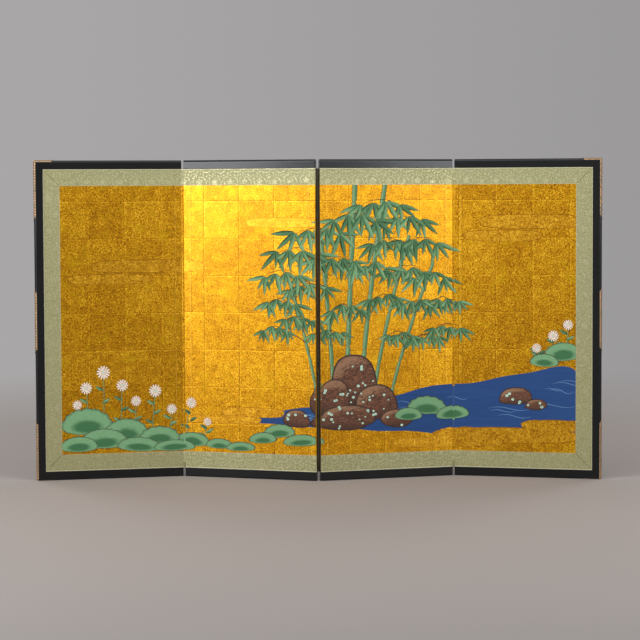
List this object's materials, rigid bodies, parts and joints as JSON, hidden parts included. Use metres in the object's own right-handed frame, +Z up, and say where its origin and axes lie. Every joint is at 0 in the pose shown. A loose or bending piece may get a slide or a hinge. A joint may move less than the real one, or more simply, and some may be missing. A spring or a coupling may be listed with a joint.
{
  "type": "folding screen",
  "caption": "Low folding screen in a zigzag: gold-leafed paper panels with a brocade border in a black lacquered frame, metal corner fittings, and paper hinges.",
  "frame": {"origin": "on the floor under the middle of the screen as it stands in its zigzag, the bottom centre of its box", "axes": "+X to the right of a person who faces the picture, -Y towards that person, +Z up"},
  "size_m": [1.6172, 0.1418, 0.9157],
  "materials": {
    "black_lacquer": "polished black lacquer on wood",
    "fitting_metal": "engraved gilt copper, darkened",
    "nail_metal": "round heads, darkened gilt copper",
    "core_wood": "planed cedar",
    "lining_paper": "layers of handmade paper",
    "gold_leaf": "gold leaf squares on paper, painted",
    "brocade": "pale green silk damask",
    "back_paper": "block-printed paper",
    "hinge_paper": "strong handmade paper"
  },
  "bodies": {
    "panel_2": {"panel_2_back_lining": "lining_paper", "panel_2_back_paper": "back_paper", "panel_2_bottom_rail": "black_lacquer", "panel_2_brocade": "brocade", "panel_2_core_frame": "core_wood", "panel_2_core_lattice": "core_wood", "panel_2_front_lining": "lining_paper", "panel_2_left_hinge_paper": "hinge_paper", "panel_2_picture": "gold_leaf", "panel_2_rail_nails": "nail_metal", "panel_2_right_hinge_paper": "hinge_paper", "panel_2_top_rail": "black_lacquer"},
    "panel_1": {"corner_fitting_bottom_left": "fitting_metal", "corner_fitting_top_left": "fitting_metal", "left_fitting_nails": "nail_metal", "left_outer_stile": "black_lacquer", "middle_fitting_left": "fitting_metal", "panel_1_back_lining": "lining_paper", "panel_1_back_paper": "back_paper", "panel_1_bottom_rail": "black_lacquer", "panel_1_brocade": "brocade", "panel_1_core_frame": "core_wood", "panel_1_core_lattice": "core_wood", "panel_1_front_lining": "lining_paper", "panel_1_picture": "gold_leaf", "panel_1_rail_nails": "nail_metal", "panel_1_right_hinge_paper": "hinge_paper", "panel_1_top_rail": "black_lacquer"},
    "panel_3": {"panel_3_back_lining": "lining_paper", "panel_3_back_paper": "back_paper", "panel_3_bottom_rail": "black_lacquer", "panel_3_brocade": "brocade", "panel_3_core_frame": "core_wood", "panel_3_core_lattice": "core_wood", "panel_3_front_lining": "lining_paper", "panel_3_left_hinge_paper": "hinge_paper", "panel_3_picture": "gold_leaf", "panel_3_rail_nails": "nail_metal", "panel_3_right_hinge_paper": "hinge_paper", "panel_3_top_rail": "black_lacquer"},
    "panel_4": {"corner_fitting_bottom_right": "fitting_metal", "corner_fitting_top_right": "fitting_metal", "middle_fitting_right": "fitting_metal", "panel_4_back_lining": "lining_paper", "panel_4_back_paper": "back_paper", "panel_4_bottom_rail": "black_lacquer", "panel_4_brocade": "brocade", "panel_4_core_frame": "core_wood", "panel_4_core_lattice": "core_wood", "panel_4_front_lining": "lining_paper", "panel_4_left_hinge_paper": "hinge_paper", "panel_4_picture": "gold_leaf", "panel_4_rail_nails": "nail_metal", "panel_4_top_rail": "black_lacquer", "right_fitting_nails": "nail_metal", "right_outer_stile": "black_lacquer"}
  },
  "joints": [
    {"name": "fold_1_2", "type": "hinge", "parent": "panel_2", "child": "panel_1", "pos_m": [-0.39025, 0.05287, 0.457], "axis": [0, 0, 1], "range_deg": [-32, 148]},
    {"name": "fold_2_3", "type": "hinge", "parent": "panel_2", "child": "panel_3", "pos_m": [0, -0.05343, 0.457], "axis": [0, 0, 1], "range_deg": [-36, 144]},
    {"name": "fold_3_4", "type": "hinge", "parent": "panel_3", "child": "panel_4", "pos_m": [0.39025, 0.05287, 0.457], "axis": [0, 0, -1], "range_deg": [-32, 144.5]}
  ]
}
